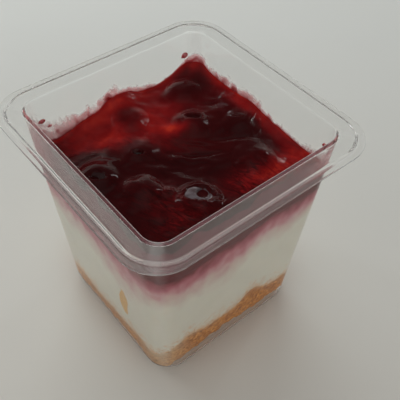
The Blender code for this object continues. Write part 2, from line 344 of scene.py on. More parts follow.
def cloud(x, y, z, scale, octaves=3, seed=0.0):
    """Soft noise at places, from about -1 to 1, with features of 1/scale metres."""
    places = np.stack(np.broadcast_arrays(x, y, z), -1).reshape(-1, 3) * scale + seed
    values = [noise.fractal(Vector(place), 1.0, 2.0, octaves) for place in places]
    return np.array(values).reshape(np.broadcast(x, y, z).shape)


def hills(table, x, y):
    total = 0.0
    for hill_x, hill_y, height, reach in table:
        away = (x / RIM_HALF - hill_x) ** 2 + (y / RIM_HALF - hill_y) ** 2
        total = total + height * np.exp(-away / reach**2)
    return total


def long_hills(table, x, y):
    """The sum of long hills, each with its own turn."""
    total = 0.0
    for middle_x, middle_y, length, width, turn, height in table:
        cosine, sine = math.cos(math.radians(turn)), math.sin(math.radians(turn))
        off_x, off_y = x / RIM_HALF - middle_x, y / RIM_HALF - middle_y
        along, across = off_x * cosine + off_y * sine, off_y * cosine - off_x * sine
        total = total + height * np.exp(-((along / length) ** 2) - (across / width) ** 2)
    return total


def from_wall(x, y, z):
    return np.maximum(wall_half(z) - np.maximum(abs(x), abs(y)), 0.0)


class Tree:
    """A node tree being built, for a material, the world or the stray crumbs."""

    def __init__(self, tree):
        self.tree = tree
        tree.nodes.clear()

    def add(self, kind, inputs=None, **settings):
        """Adds a node, with its settings and its inputs by name or number, and returns it."""
        made = self.tree.nodes.new(kind)
        for key, value in settings.items():
            setattr(made, key, value)
        for key, value in (inputs or {}).items():
            if isinstance(value, bpy.types.NodeSocket):
                self.tree.links.new(value, made.inputs[key])
            else:
                made.inputs[key].default_value = value
        return made

    def math(self, operation, first, second=0.0, third=0.0, clamp=False):
        inputs = {0: first, 1: second, 2: third}
        return self.add("ShaderNodeMath", inputs, operation=operation, use_clamp=clamp).outputs[0]

    def mix(self, factor, first, second, blend="MIX"):
        inputs = {0: factor, 6: first, 7: second}
        made = self.add("ShaderNodeMix", inputs, data_type="RGBA", blend_type=blend)
        return made.outputs[2]

    def ramp(self, factor, stops):
        """A colour for each place of the factor; a stop is a place and a colour or a grey."""
        made = self.add("ShaderNodeValToRGB", {"Fac": factor})
        points = made.color_ramp.elements
        while len(points) < len(stops):
            points.new(0.5)
        for point, (place, colour) in zip(points, stops):
            point.position = place
            colour = (colour,) * 3 if isinstance(colour, (int, float)) else colour
            point.color = (*colour, 1.0)
        return made.outputs["Color"]

    def place(self, stretch=(1, 1, 1), turn=(0, 0, 0)):
        """Object coordinates, turned and then stretched."""
        where = self.add("ShaderNodeTexCoord").outputs["Object"]
        inputs = {"Vector": where, "Scale": stretch, "Rotation": turn}
        return self.add("ShaderNodeMapping", inputs, vector_type="TEXTURE").outputs["Vector"]

    def noise(self, scale, detail=4.0, rough=0.5, where=None, distortion=0.0):
        inputs = {
            "Vector": where or self.place(),
            "Scale": scale,
            "Detail": detail,
            "Roughness": rough,
            "Distortion": distortion,
        }
        return self.add("ShaderNodeTexNoise", inputs).outputs["Fac"]

    def value(self, name):
        return self.add("ShaderNodeAttribute", attribute_name=name).outputs["Fac"]

    def bump(self, height, strength, distance, under=None):
        inputs = {"Height": height, "Strength": strength, "Distance": distance}
        if under is not None:
            inputs["Normal"] = under
        return self.add("ShaderNodeBump", inputs).outputs["Normal"]

    def principled(self, **inputs):
        named = {key.replace("_", " "): value for key, value in inputs.items()}
        return self.add("ShaderNodeBsdfPrincipled", named).outputs["BSDF"]

    def finish(self, shader):
        self.add("ShaderNodeOutputMaterial", {"Surface": shader})


def new_material(name):
    material = bpy.data.materials.new(name)
    material.use_nodes = True
    return material, Tree(material.node_tree)


def colour(red, green, blue):
    return (red, green, blue, 1.0)


def clear_plastic():
    """Thin hard plastic that lets lamps through, a little hazy on the flange; milkier edges paint
    highlight lines.
    """
    material, tree = new_material("clear_plastic")
    waves = tree.noise(90, detail=1.0)
    glass = tree.principled(
        Base_Color=colour(0.985, 0.985, 0.98),
        Roughness=0.03,
        IOR=1.32,
        Transmission_Weight=tree.math("SUBTRACT", 1.0, tree.value("haze_and_highlights")),
        Normal=tree.bump(waves, 0.2, 0.3 * MM),
    )
    passing = tree.add("ShaderNodeBsdfTransparent", {"Color": colour(0.95, 0.955, 0.95)})
    rays = tree.add("ShaderNodeLightPath").outputs
    through = tree.math("MAXIMUM", rays["Is Shadow Ray"], rays["Is Diffuse Ray"])
    inputs = {0: through, 1: glass, 2: passing.outputs[0]}
    tree.finish(tree.add("ShaderNodeMixShader", inputs).outputs[0])
    return material


def cream_finish():
    """Pale cream behind plastic, stained by the compote's juice at the top."""
    material, tree = new_material("cream")
    mottle = tree.noise(140, detail=5.0)
    white = tree.mix(mottle, colour(0.62, 0.600, 0.515), colour(0.70, 0.678, 0.588))
    wisps = tree.noise(420, detail=5.0, rough=0.65, where=tree.place(stretch=(1, 1, 1.8)))
    stained = tree.math("ADD", tree.value("stain"), tree.math("MULTIPLY_ADD", wisps, 0.32, -0.16))
    pink = tree.ramp(
        stained,
        (
            (0.02, (1.0, 1.0, 1.0)),
            (0.14, (0.97, 0.925, 0.935)),
            (0.34, (0.91, 0.76, 0.79)),
            (0.48, (0.86, 0.60, 0.67)),
            (0.60, (0.77, 0.38, 0.47)),
            (0.74, (0.64, 0.19, 0.28)),
            (0.88, (0.42, 0.07, 0.12)),
            (1.0, (0.22, 0.018, 0.030)),
        ),
    )
    crumbs = tree.math("MULTIPLY_ADD", tree.noise(650, detail=6.0, rough=0.7), 2.2, -1.1)
    dusted = tree.math("ADD", tree.value("crumbs"), crumbs, clamp=True)
    tinted = tree.mix(1.0, white, pink, blend="MULTIPLY")
    tree.finish(
        tree.principled(
            Base_Color=tree.mix(dusted, tinted, colour(0.66, 0.28, 0.05)),
            Roughness=0.6,
            Specular_IOR_Level=0.1,
            Subsurface_Weight=0.25,
            Subsurface_Radius=(1.6 * MM, 1.0 * MM, 0.7 * MM),
            Subsurface_Scale=1.0,
            Normal=tree.bump(tree.noise(700, detail=4.0), 0.25, 0.15 * MM),
        )
    )
    return material


def crumb_finish():
    """Dry golden biscuit crumb, paler where cream is worked into it."""
    material, tree = new_material("biscuit_crumb")
    grain = tree.noise(900, detail=7.0, rough=0.72)
    patch = tree.noise(330, detail=4.0, rough=0.6)
    golden = tree.ramp(
        grain,
        ((0.36, (0.17, 0.043, 0.002)), (0.50, (0.56, 0.180, 0.009)), (0.66, (0.87, 0.41, 0.060))),
    )
    dark = tree.ramp(patch, ((0.44, 0.0), (0.64, 0.75)))
    toned = tree.mix(dark, golden, colour(0.35, 0.100, 0.005))
    speckle = tree.math("MULTIPLY_ADD", grain, 0.9, -0.45)
    mixed = tree.math("ADD", tree.value("pale"), speckle, clamp=True)
    pale = tree.mix(mixed, toned, colour(0.57, 0.44, 0.30))
    pale = tree.mix(tree.value("yellow"), pale, colour(0.80, 0.50, 0.15))
    tree.finish(
        tree.principled(
            Base_Color=pale,
            Roughness=0.9,
            Specular_IOR_Level=0.1,
            Normal=tree.bump(grain, 0.8, 0.4 * MM),
        )
    )
    return material


def gel_finish():
    """Wet, very dark cherry gel: red where it is thin or lit through, with fruit fibres."""
    material, tree = new_material("cherry_gel")
    soft = tree.noise(170, detail=2.0, distortion=0.5)
    along = tree.place(stretch=(1, 3.2, 1), turn=(0, 0, 0.35))
    fibres = tree.noise(620, detail=5.0, rough=0.65, where=along, distortion=1.5)
    red = tree.math("MULTIPLY", tree.value("red"), tree.math("MULTIPLY_ADD", soft, 1.1, 0.45))
    strand = tree.math("MULTIPLY_ADD", fibres, 3.2, -1.6)
    strand = tree.math("MULTIPLY", tree.value("fibre"), strand)
    base = tree.ramp(
        tree.math("ADD", red, strand, clamp=True),
        (
            (0.0, (0.030, 0.0011, 0.0017)),
            (0.25, (0.084, 0.0024, 0.0036)),
            (0.50, (0.205, 0.0058, 0.0072)),
            (0.75, (0.345, 0.0110, 0.0095)),
            (1.0, (0.530, 0.032, 0.016)),
        ),
    )
    wall = tree.mix(tree.value("side"), base, colour(0.105, 0.006, 0.010))
    ripple = tree.noise(230, detail=2.0, where=tree.place(stretch=(2.2, 1, 1), turn=(0, 0, -0.72)))
    rough = tree.ramp(soft, ((0.35, 0.08), (0.70, 0.20)))
    tree.finish(
        tree.principled(
            Base_Color=wall,
            Roughness=tree.math("MAXIMUM", rough, tree.value("side")),
            IOR=1.38,
            Specular_IOR_Level=0.30,
            Normal=tree.bump(ripple, 0.15, 0.30 * MM),
        )
    )
    return material


def fruit_finish():
    """Glazed black-red cherry skin, with a painted grey-lilac reflection round the first cherry's
    stone hole.
    """
    material, tree = new_material("cherry")
    tone = tree.noise(300, detail=3.0)
    base = tree.mix(tone, colour(0.006, 0.0006, 0.0012), colour(0.045, 0.0022, 0.004))
    base = tree.mix(tree.value("painted_reflection"), base, colour(0.16, 0.130, 0.145))
    normal = tree.bump(tree.noise(420, detail=3.0), 0.45, 0.35 * MM)
    tree.finish(tree.principled(Base_Color=base, Roughness=0.16, IOR=1.5, Normal=normal))
    return material


def film_finish():
    """A thin torn film of juice on the clear wall, milky pink where it is thinnest."""
    material, tree = new_material("juice_film")
    tall = tree.place(stretch=(1, 1, 1.5))
    torn = tree.noise(330, detail=5.0, rough=0.6, where=tall, distortion=0.8)
    rag = tree.math("MULTIPLY_ADD", torn, 1.6, -0.85)
    mauve = tree.value("mauve")
    rag = tree.math("MULTIPLY", rag, tree.math("MULTIPLY_ADD", mauve, -0.75, 1.0))
    level = tree.math("ADD", tree.value("thick"), rag, clamp=True)
    tone = tree.ramp(
        level,
        (
            (0.0, (1.0, 0.82, 0.82)),
            (0.42, (0.90, 0.42, 0.44)),
            (0.75, (0.40, 0.025, 0.032)),
            (1.0, (0.20, 0.006, 0.009)),
        ),
    )
    tone = tree.mix(mauve, tone, colour(0.30, 0.080, 0.105))
    juice = tree.principled(
        Base_Color=tone,
        Roughness=0.3,
        Specular_IOR_Level=0.3,
        Normal=tree.bump(torn, 0.3, 0.2 * MM),
    )
    passing = tree.add("ShaderNodeBsdfTransparent").outputs[0]
    cover = tree.ramp(level, ((0.05, 0.0), (0.32, 0.40), (0.75, 0.95)))
    tree.finish(tree.add("ShaderNodeMixShader", {0: cover, 1: passing, 2: juice}).outputs[0])
    return material


def floor_finish():
    material, tree = new_material("pale_floor")
    grain = tree.noise(25, detail=3.0)
    tone = tree.mix(grain, colour(0.70, 0.71, 0.69), colour(0.72, 0.73, 0.71))
    # Warmer towards the camera: a painted tint of the warmer light that falls on the floor there.
    where = tree.add("ShaderNodeSeparateXYZ", {0: tree.place(turn=(0, 0, 0.86))}).outputs["X"]
    near = tree.math("MULTIPLY_ADD", where, -4.0, 0.60, clamp=True)
    tone = tree.mix(near, tone, colour(0.725, 0.705, 0.66))
    tree.finish(tree.principled(Base_Color=tone, Roughness=0.6, Specular_IOR_Level=0.2))
    return material


def rounded_profile(corners, arc_steps=6, support=0.12 * MM):
    """A line through corners, each with its own rounding, with a support just past each arc."""
    points = [np.array(corners[0][:2])]
    for before, corner, after in zip(corners, corners[1:], corners[2:]):
        here, radius = np.array(corner[:2]), corner[2]
        back = np.array(before[:2]) - here
        on = np.array(after[:2]) - here
        back, on = back / np.linalg.norm(back), on / np.linalg.norm(on)
        half_angle = math.acos(np.clip(np.dot(back, on), -1, 1)) / 2
        reach = radius / math.tan(half_angle)
        middle = here + (back + on) / np.linalg.norm(back + on) * radius / math.sin(half_angle)
        start, end = here + back * reach, here + on * reach
        points.append(start + back * support)
        sweep = math.pi - 2 * half_angle
        for step in range(arc_steps + 1):
            share = step / arc_steps
            toward = (start - middle) * math.sin((1 - share) * sweep)
            toward = toward + (end - middle) * math.sin(share * sweep)
            points.append(middle + toward / np.linalg.norm(toward) * radius)
        points.append(end + on * support)
    points.append(np.array(corners[-1][:2]))
    return points


def make_cup(material):
    """One thin pressed shell: foot, drafted walls, flat flange and a lip one step lower."""
    foot = wall_half(0) + WALL
    under = CUP_HEIGHT - WALL
    lip_top = CUP_HEIGHT - LIP_DROP
    lip_under = lip_top - LIP_THICK
    small = 0.19 * MM
    corners = (
        (foot - FOOT_BEVEL - FOOT_WIDTH - 3 * MM, RECESS, 0),
        (foot - FOOT_BEVEL - FOOT_WIDTH - MM, RECESS, 0.3 * MM),
        (foot - FOOT_BEVEL - FOOT_WIDTH, 0, 0.3 * MM),
        (foot, 0, FOOT_BEVEL),
        (wall_half(under) + WALL, under, 0.5 * MM),
        (FLANGE_HALF - WALL * 0.9, under, small),
        (FLANGE_HALF - WALL * 0.4, lip_under, small),
        (LIP_HALF, lip_under, LIP_THICK * 0.42),
        (LIP_HALF, lip_top, LIP_THICK * 0.42),
        (FLANGE_HALF + 0.25 * MM, lip_top, small),
        (FLANGE_HALF, CUP_HEIGHT, EDGE_ROLL),
        (RIM_HALF, CUP_HEIGHT, RIM_ROLL),
        (wall_half(FLOOR_TOP), FLOOR_TOP, FLOOR_FILLET),
        (wall_half(FLOOR_TOP) - 2 * FLOOR_FILLET, FLOOR_TOP, 0),
    )
    pattern = quarter_pattern(24, 16)
    rings, haze_and_highlights = [], [HAZE_FLOOR]
    for half, z in rounded_profile(corners):
        corner = wall_corner(z) + half - wall_half(z) - LIP_TIGHTER * max(half - FLANGE_HALF, 0)
        flat = rounded_square(pattern, half, corner)
        rings.append(np.column_stack([flat, np.full(len(flat), z)]))
        haze_and_painted_light = HAZE_WALL
        if z > under - LIP_DROP and half > RIM_HALF + RIM_ROLL:
            haze_and_painted_light = HAZE_FLANGE
        # The foot's rounding is made milky: painted light over the dark line that shows there.
        if z < FOOT_BEVEL and half > foot - FOOT_BEVEL:
            haze_and_painted_light = FOOT_PAINTED_LIGHT
        # The lip, the flange's outer step and the inner roll are made milkier: painted highlight
        # lines along those edges.
        if half > FLANGE_HALF + 0.5 * MM:
            haze_and_painted_light = LIP_PAINTED_HIGHLIGHT
        if abs(half - FLANGE_HALF) < 0.5 * EDGE_ROLL and z > lip_top + 0.2 * MM:
            haze_and_painted_light = STEP_PAINTED_HIGHLIGHT
        if half < RIM_HALF + 0.9 * RIM_ROLL and z > CUP_HEIGHT - 0.9 * RIM_ROLL:
            haze_and_painted_light = ROLL_PAINTED_HIGHLIGHT
        # Full milkiness at the near corner, a quarter of it at the far side: painted shade on the
        # far plastic, where the daylight falls strongest, so that it does not glow.
        near = np.clip(0.5 - (flat[:, 0] + flat[:, 1]) / RIM_HALF, 0.25, 1)
        # More milky along the upright corners: painted pale reflections down them.
        off_corner = abs(flat[:, 0]) - abs(flat[:, 1])
        bend = CORNER_PAINTED_REFLECTION * np.exp(-((off_corner / (2.5 * MM)) ** 4))
        haze_and_highlights.extend(haze_and_painted_light * near + bend)
    start, end = (0, 0, RECESS), (0, 0, FLOOR_TOP)
    piece = skin("cup_shell", np.array(rings), start, end, material)
    set_attribute(piece, "haze_and_highlights", haze_and_highlights + [HAZE_FLOOR])
    return piece


def crumb_top(x, y):
    ripple = 0.6 * MM * np.sin(430 * x + 1.0) * np.cos(390 * y + 0.4)
    return CRUMB_LEVEL - CRUMB_TILT * y / RIM_HALF + hills(CRUMB_HILLS, x, y) + ripple


def crumb_bottom(x, y):
    """The floor, but for the empty wedges along the -Y and -X walls."""
    edge = VOID_LOW + VOID_PEAK * np.exp(-(((x - VOID_PEAK_X) / VOID_PEAK_REACH) ** 2))
    edge = edge * np.clip((VOID_HALF - abs(x)) / (VOID_HALF / 6), 0, 1)
    wedge = edge - VOID_SLOPE * (wall_half(edge) + y)
    left = LEFT_VOID * np.clip((y - LEFT_VOID_START) / LEFT_VOID_RUN, 0, 1)
    left_wedge = left - VOID_SLOPE * (wall_half(left) + x)
    return np.maximum(FLOOR_TOP - REACH_IN, np.maximum(wedge, left_wedge))


def cream_top(x, y):
    ripple = 0.7 * MM * np.sin(310 * x + 2.1) * np.sin(280 * y + 0.7)
    climb = CREAM_CLIMB * np.exp(-from_wall(x, y, CREAM_LEVEL) / CREAM_REACH)
    return CREAM_LEVEL + climb + hills(CREAM_HILLS, x, y) + ripple


def read_fruit():
    """Number, centre, radius, turn and bare place of each cherry, from the frame."""
    fruit = []
    for number, (turn_x, turn_y, *bare) in enumerate(CHERRIES, 1):
        low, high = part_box(f"cherry_{number}")
        turn = Euler((math.radians(turn_x), math.radians(turn_y), 0))
        fruit.append((number, (low + high) / 2, max(high - low) / 2, turn, bare))
    return fruit


FRUIT = read_fruit()


def across_view(x, y):
    """Places measured across the photo's view, and away from it."""
    return VIEW_COS * x - VIEW_SIN * y, VIEW_SIN * x + VIEW_COS * y


def cherry_dome(x, y, centre, radius):
    """The height of a cherry's top, and far below it outside the cherry's outline."""
    away = np.hypot(x - centre.x, y - centre.y)
    dome = centre.z + FRUIT_FLAT * np.sqrt(np.maximum(radius**2 - away**2, 0))
    return dome - DOME_DROP * (away > radius)


def soft_top(one, other, soft):
    """The higher of two surfaces, with a soft run from one to the other."""
    return soft * np.logaddexp(one / soft, other / soft)


def gel_top(x, y):
    """The compote's skin: hills, folds, a thin cover on every cherry, a climb at the walls."""
    z = GEL_LEVEL + hills(GEL_HILLS, x, y) + long_hills(FOLDS, x, y)
    for _, centre, _, _, _ in FRUIT:
        away = np.hypot(x - centre.x, y - centre.y)
        z = z + SWELL * np.exp(-((away / SWELL_REACH) ** 2))
    z = z + GEL_CLIMB * np.exp(-from_wall(x, y, GEL_LEVEL) / CLIMB_REACH)
    z = z + ROLLS * cloud(x, y, 0, 110, octaves=2, seed=3.1)
    along, across = across_view(x, y)
    z = z + RIPPLES * cloud(along * 0.4, across, 0, 330, octaves=2, seed=7.7)
    for _, centre, radius, _, (_, _, reach) in FRUIT:
        soft = SOFT_BARE if reach else SOFT_COVERED
        z = soft_top(z, cherry_dome(x, y, centre, radius) + GLAZE, soft)
    z = z + LUMPS * cloud(x, y, 0, 170, octaves=2, seed=5.5) + long_hills(CREASES, x, y)
    for _, centre, radius, _, (bare_x, bare_y, reach) in FRUIT:
        z = soft_top(z, cherry_dome(x, y, centre, radius) + GLAZE_THIN, SOFT_SKIN)
        if reach:
            along, across = across_view(x - centre.x - bare_x, y - centre.y - bare_y)
            away = np.hypot(along / BARE_LONG, across * BARE_LONG)
            rag = 1 + 0.30 * cloud(x, y, 0, 380, octaves=3, seed=1.9)
            z = z - BARE_DIP * np.exp(-((away / (reach * rag)) ** 4))
    return z


def layer(name, bottom, top, material, steps, low_rings, side_rings, high_rings):
    """A layer of the food that reaches just into the wall, between two surfaces."""
    pattern = quarter_pattern(*steps)

    def wall_line(height):
        z = np.full(len(pattern[0]), GEL_LEVEL / 2)
        for _ in range(4):
            rise = np.clip(FLOOR_FILLET - (z - FLOOR_TOP), 0, FLOOR_FILLET)
            inset = FLOOR_FILLET - np.sqrt(FLOOR_FILLET**2 - rise**2) - REACH_IN
            flat = rounded_square(pattern, wall_half(z) - inset, wall_corner(z) - inset)
            z = height(*flat.T)
        return flat

    def surface(height, count):
        shares = np.linspace(1 / count, 1, count)[:, None, None]
        flat = shares * wall_line(height)
        x, y = flat[..., 0], flat[..., 1]
        return np.dstack([x, y, height(x, y)])

    low = surface(bottom, low_rings)
    high = surface(top, high_rings)
    sides = []
    for step in range(1, side_rings + 1):
        share = step / (side_rings + 1)

        def height(x, y, share=share):
            return bottom(x, y) * (1 - share) + top(x, y) * share

        flat = wall_line(height)
        sides.append(np.column_stack([flat, height(*flat.T)]))
    rings = np.concatenate([low, np.array(sides).reshape(-1, *low.shape[1:]), high[::-1]])
    zero = np.zeros(1)
    start = (0, 0, float(bottom(zero, zero)[0]))
    end = (0, 0, float(top(zero, zero)[0]))
    return skin(name, rings, start, end, material)


def make_crumb(material):
    piece = layer("crumb_layer", crumb_bottom, crumb_top, material, (130, 16), 20, 26, 20)
    spots = vertices(piece)
    at_wall = from_wall(*spots.T) < 0.5 * MM
    rag = cloud(*spots.T, 380, octaves=5)
    spots[:, 2] += np.where(spots[:, 2] > FLOOR_TOP, CRUMB_RAG * rag * at_wall, 0)
    piece.data.vertices.foreach_set("co", spots.ravel())
    corner = np.exp(-((spots[:, 0] + 0.027) ** 2 + (spots[:, 1] + 0.027) ** 2) / 0.008**2)
    left = np.exp(-(((spots[:, 0] + wall_half(spots[:, 2])) / (2 * MM)) ** 2))
    edge = 0.45 * np.exp(-abs(crumb_top(*spots[:, :2].T) - spots[:, 2]) / (1.2 * MM))
    set_attribute(piece, "pale", np.clip(0.6 * corner + 0.15 * left + edge, 0, 0.9))
    return piece


def crumb_scatter(material):
    """A node tree that strews small uneven crumbs over a strip."""
    group = bpy.data.node_groups.new("crumb_scatter", "GeometryNodeTree")
    sockets = group.interface
    sockets.new_socket("Geometry", in_out="INPUT", socket_type="NodeSocketGeometry")
    sockets.new_socket("Density", in_out="INPUT", socket_type="NodeSocketFloat")
    sockets.new_socket("Size", in_out="INPUT", socket_type="NodeSocketFloat")
    sockets.new_socket("Seed", in_out="INPUT", socket_type="NodeSocketInt")
    sockets.new_socket("Geometry", in_out="OUTPUT", socket_type="NodeSocketGeometry")
    tree = Tree(group)
    given = tree.add("NodeGroupInput").outputs

    def random_three(low, high):
        inputs = {"Min": low, "Max": high, "Seed": given["Seed"]}
        made = tree.add("FunctionNodeRandomValue", inputs, data_type="FLOAT_VECTOR")
        return made.outputs["Value"]

    spots = tree.add(
        "GeometryNodeDistributePointsOnFaces",
        {"Mesh": given["Geometry"], "Density": given["Density"], "Seed": given["Seed"]},
    )
    grain = tree.add("GeometryNodeMeshIcoSphere", {"Radius": given["Size"], "Subdivisions": 2})
    placed = tree.add(
        "GeometryNodeInstanceOnPoints",
        {
            "Points": spots.outputs["Points"],
            "Instance": grain.outputs["Mesh"],
            "Rotation": random_three((0, 0, 0), (math.tau, math.tau, math.tau)),
            "Scale": random_three((0.35, 0.35, 0.35), (1.2, 1.0, 0.8)),
        },
    )
    real = tree.add("GeometryNodeRealizeInstances", {"Geometry": placed.outputs["Instances"]})
    inputs = {"Geometry": real.outputs[0], "Material": material}
    tinted = tree.add("GeometryNodeSetMaterial", inputs)
    tree.add("NodeGroupOutput", {"Geometry": tinted.outputs[0]})
    return group


def make_loose_crumbs(material):
    """Stray crumbs against the walls, just over the edge of the crumb layer."""
    pattern = quarter_pattern(40, 10)
    loops = []
    for rise in STRIP_RISES:
        z = np.full(len(pattern[0]), CRUMB_LEVEL)
        for _ in range(4):
            flat = rounded_square(pattern, wall_half(z) - CRUMB_SINK, wall_corner(z) - CRUMB_SINK)
            z = crumb_top(*flat.T) + rise
        loops.append(np.column_stack([flat, z]))
    count = len(pattern[0])
    faces = []
    for base in range(0, (len(loops) - 1) * count, count):
        for i in range(count):
            j = (i + 1) % count
            faces.append((base + i, base + j, base + count + j, base + count + i))
    piece = new_object("loose_crumbs", np.concatenate(loops), faces, material)
    piece.data.shade_flat()
    group = crumb_scatter(material)
    change = piece.modifiers.new("scatter", "NODES")
    change.node_group = group
    values = {"Density": CRUMB_DENSITY, "Size": CRUMB_SIZE, "Seed": CRUMB_SEED}
    for socket in group.interface.items_tree:
        if socket.in_out == "INPUT" and socket.name in values:
            change[socket.identifier] = values[socket.name]
    strewn = piece.evaluated_get(bpy.context.evaluated_depsgraph_get())
    data = bpy.data.meshes.new_from_object(strewn)
    piece.modifiers.clear()
    piece.data = data
    set_attribute(piece, "pale", 0.5 + 0.5 * cloud(*vertices(piece).T, 300))
    return piece


def make_cream(material):
    def bottom(x, y):
        return crumb_top(x, y) - 0.2 * MM

    piece = layer("cream_layer", bottom, cream_top, material, (60, 12), 12, 90, 12)
    x, y, z = vertices(piece).T
    reach = STAIN_REACH + 1.5 * MM * np.sin(330 * (x + y)) - 2.5 * MM * (x / RIM_HALF)
    for (more, place, wide), out, along in ((STAIN_LEFT, x, y), (STAIN_RIGHT, y, x)):
        at_wall = np.exp(-(((out + wall_half(z)) / (2 * MM)) ** 2))
        reach = reach + at_wall * more * np.exp(-(((along - place) / wide) ** 2))
    more, place, wide = STAIN_CORNER
    reach = reach + more * np.exp(-((x - place) ** 2 + (y - place) ** 2) / wide**2)
    depth = (cream_top(x, y) - z) / reach
    rag = 0.12 * cloud(x, y, z, 260, octaves=3, seed=1.7)
    set_attribute(piece, "stain", np.clip(1.0 - depth + rag, 0, 1))
    above = np.maximum(z - crumb_top(x, y), 0)
    set_attribute(piece, "crumbs", 0.62 * np.exp(-above / (1.6 * MM)) - 0.5 * (above > 6 * MM))
    return piece


def make_compote(material):
    def bottom(x, y):
        return cream_top(x, y) - 0.1 * MM

    piece = layer("compote", bottom, gel_top, material, (110, 14), 6, 8, 120)
    x, y, z = vertices(piece).T
    red = long_hills(RED_PLACES, x, y)
    to_wall = from_wall(x, y, z)
    # Redder along every wall, where the gel is thin, and far more along the far walls: there it is
    # painted light that shines through the clear wall behind the gel.
    far = np.clip((np.maximum(x, y) / RIM_HALF - 0.6) * 3, 0, 1)
    red = np.maximum(red, (0.12 + 0.65 * far) * np.exp(-to_wall / (3.0 * MM)))
    for _, centre, radius, _, _ in FRUIT:
        away = np.hypot(x - centre.x, y - centre.y)
        red = red * (1 - 0.60 * np.exp(-((away / (0.75 * radius)) ** 4)))
    set_attribute(piece, "red", np.clip(red, 0, 1))
    near = np.clip(0.5 - (x + y * 1.1) / RIM_HALF * 0.9, 0, 1)
    fibre = near * np.clip(red * 2.5, 0.05, 0.8) * (to_wall > REACH_IN)
    set_attribute(piece, "fibre", 0.75 * fibre)
    set_attribute(piece, "side", (z < gel_top(x, y) - 0.3 * MM) * 1.0)
    return piece


def make_cherry(number, centre, radius, turn, material):
    """A cooked cherry with a stone hole, slightly squashed and creased."""
    across, down = 72, 44
    angles = np.linspace(0, 2 * math.pi, across, endpoint=False)
    rings = []
    for step in range(down - 1, 0, -1):
        fall = math.pi * step / down
        hole = HOLE_DEEP * math.exp(-((fall / HOLE_WIDE) ** 4))
        hole += DISH_DEEP * math.exp(-((fall / DISH_WIDE) ** 4))
        seam = SEAM_DEEP * math.sin(fall) * np.exp(-(((angles - math.pi) / SEAM_WIDE) ** 2))
        reach = radius * (1 - seam) - hole
        ring = np.column_stack(
            [
                reach * math.sin(fall) * np.cos(angles),
                reach * math.sin(fall) * np.sin(angles),
                np.full(across, reach.mean() * math.cos(fall)),
            ]
        )
        rings.append(ring)
    rings = np.array(rings)
    start = (0, 0, -radius)
    end = (0, 0, radius - HOLE_DEEP - DISH_DEEP)
    piece = skin(f"whole_cherry_{number}", rings, start, end, material)
    spots = vertices(piece)
    wrinkle = cloud(*spots.T, 210, octaves=2, seed=number * 5.3)
    spots *= 0.985 + 0.02 * wrinkle[:, None]
    top = np.arctan2(np.hypot(spots[:, 0], spots[:, 1]), spots[:, 2])
    # A painted grey-lilac reflection, in patches, on the ring round the first cherry's stone hole.
    reflection_patches = 0.65 + 0.8 * cloud(*spots.T, 450, octaves=3)
    set_attribute(piece, "painted_reflection", reflection_patches * np.exp(-(((top - 0.55) / 0.30) ** 4)) * (number == 1))
    spots = spots @ np.array(turn.to_matrix()).T * (1, 1, FRUIT_FLAT) + np.array(centre)
    piece.data.vertices.foreach_set("co", spots.ravel())
    return piece


def make_streak(material):
    """The upright streak of crumb in the cream at the left near wall."""
    low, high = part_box("biscuit_streak")
    middle_y, middle_z = (low.y + high.y) / 2, (low.z + high.z) / 2
    half_tall, half_wide = (high.z - low.z) / 2, (high.y - low.y) / 2
    rows, count = 24, 20
    angles = np.linspace(0, 2 * math.pi, count, endpoint=False)
    rings = []
    for row in range(1, rows):
        share = row / rows
        z = middle_z + half_tall * (2 * share - 1)
        width = 1.25 * half_wide * math.sin(math.pi * share) ** 0.55
        width *= 1 + 0.35 * noise.noise(Vector((0, 0, z * 500)))
        out = -(wall_half(z) + REACH_IN) + 0.8 * MM
        flat = np.sign(np.cos(angles)) * abs(np.cos(angles)) ** 0.35
        ring = np.column_stack(
            [
                out - 0.95 * MM * flat,
                middle_y - width * np.sin(angles) + 0.5 * MM * math.sin(z * 380),
                np.full(count, z),
            ]
        )
        rings.append(ring)
    start = (rings[0][:, 0].mean(), rings[0][:, 1].mean(), low.z)
    end = (rings[-1][:, 0].mean(), rings[-1][:, 1].mean(), high.z)
    piece = skin("crumb_streak", np.array(rings), start, end, material)
    inside = 1 - abs(vertices(piece)[:, 2] - middle_z) / half_tall
    set_attribute(piece, "pale", 0.55 - 0.35 * inside)
    set_attribute(piece, "yellow", np.full(len(inside), 0.55))
    return piece


